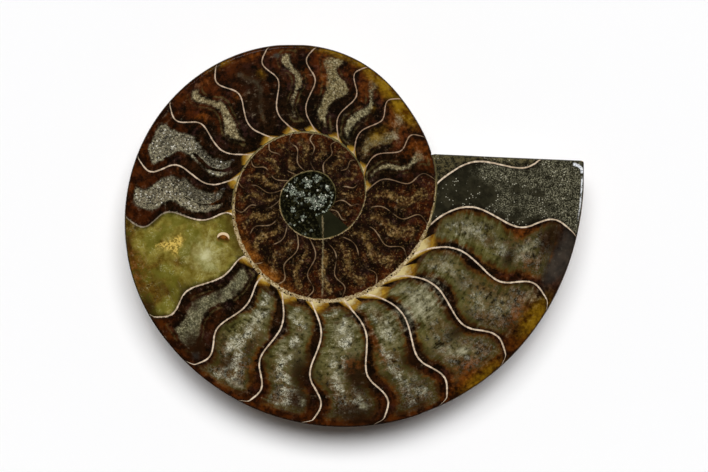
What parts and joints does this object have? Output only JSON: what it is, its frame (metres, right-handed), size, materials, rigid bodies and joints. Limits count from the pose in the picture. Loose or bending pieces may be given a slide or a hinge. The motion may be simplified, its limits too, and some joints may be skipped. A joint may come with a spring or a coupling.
{
  "type": "ammonite fossil half",
  "caption": "Ammonite sawn in half and polished: flat cut face with coiled crystal-filled chambers, rounded shell flank and navel behind.",
  "frame": {"origin": "middle of the bounding box, on the underside that the flank lies on", "axes": "+Z out of the polished cut face, +X along the sawn edge towards the last chamber, +Y across the cut face"},
  "size_m": [0.0996, 0.083, 0.014],
  "materials": {
    "stone": null
  },
  "bodies": {
    "root": {"ammonite_half": "stone"}
  },
  "joints": []
}
